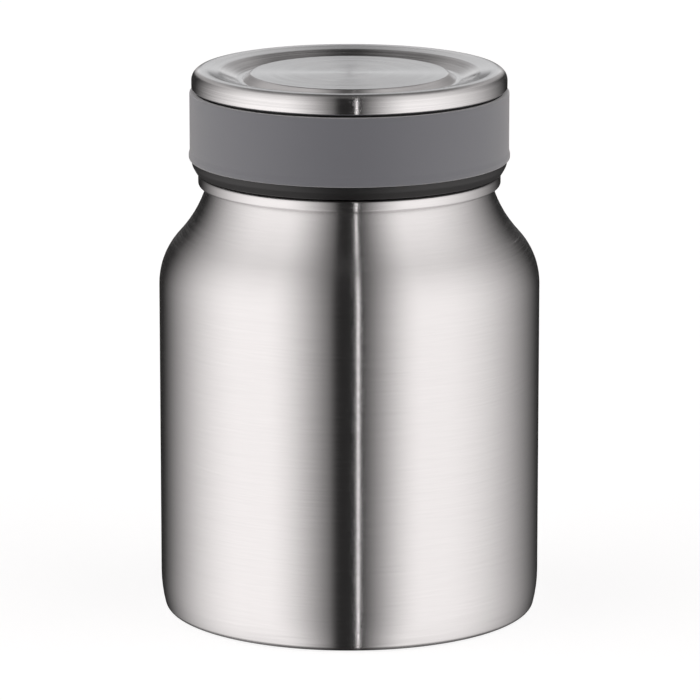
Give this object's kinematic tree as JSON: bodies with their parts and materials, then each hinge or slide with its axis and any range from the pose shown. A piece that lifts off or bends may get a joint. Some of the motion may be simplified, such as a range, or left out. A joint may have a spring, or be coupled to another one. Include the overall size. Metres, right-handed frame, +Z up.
{
  "type": "insulated food jar",
  "caption": "Wide-mouth vacuum food jar: brushed steel double wall, sweeping shoulder, screw lid with grey grip band and ring-grooved steel top.",
  "frame": {"origin": "middle of the foot ring, on the surface that the jar stands on", "axes": "+Z up along the jar's axis, towards the lid; +X and +Y are any two level directions, with the getter on +X"},
  "size_m": [0.095, 0.095, 0.137],
  "materials": {
    "brushed_shell": "satin",
    "satin_liner": "satin",
    "mill_steel": "satin",
    "turned_plate": "satin",
    "foil": "gloss",
    "seal_glass": "gloss",
    "getter_metal": "matte",
    "charcoal_plastic": "satin",
    "grey_silicone": "matte",
    "clear_silicone": "satin",
    "foam": "matte"
  },
  "bodies": {
    "jar": {"outer_shell": "brushed_shell", "inner_vessel": "satin_liner", "radiation_foil": "foil", "vacuum_base": "mill_steel", "vacuum_seal": "seal_glass", "getter_clip": "mill_steel", "getter": "getter_metal", "base_cover": "brushed_shell"},
    "lid_core": {"insulation_disc": "foam"},
    "lid": {"lid_cap": "charcoal_plastic", "grip_band": "grey_silicone", "top_plate": "turned_plate", "stopper": "charcoal_plastic", "lid_gasket": "clear_silicone"}
  },
  "joints": [
    {"name": "lid_rise", "type": "slide", "parent": "jar", "child": "lid_core", "axis": [0, 0, 1], "range_m": [0, 0.027]},
    {"name": "lid_turn", "type": "hinge", "parent": "lid_core", "child": "lid", "pos_m": [0, 0, 0.12], "axis": [0, 0, 1], "range_deg": [0, 1080]}
  ],
  "couplings": [
    {"joint": "lid_rise", "follows": "lid_turn", "m_per_rad": 0.0014324}
  ]
}
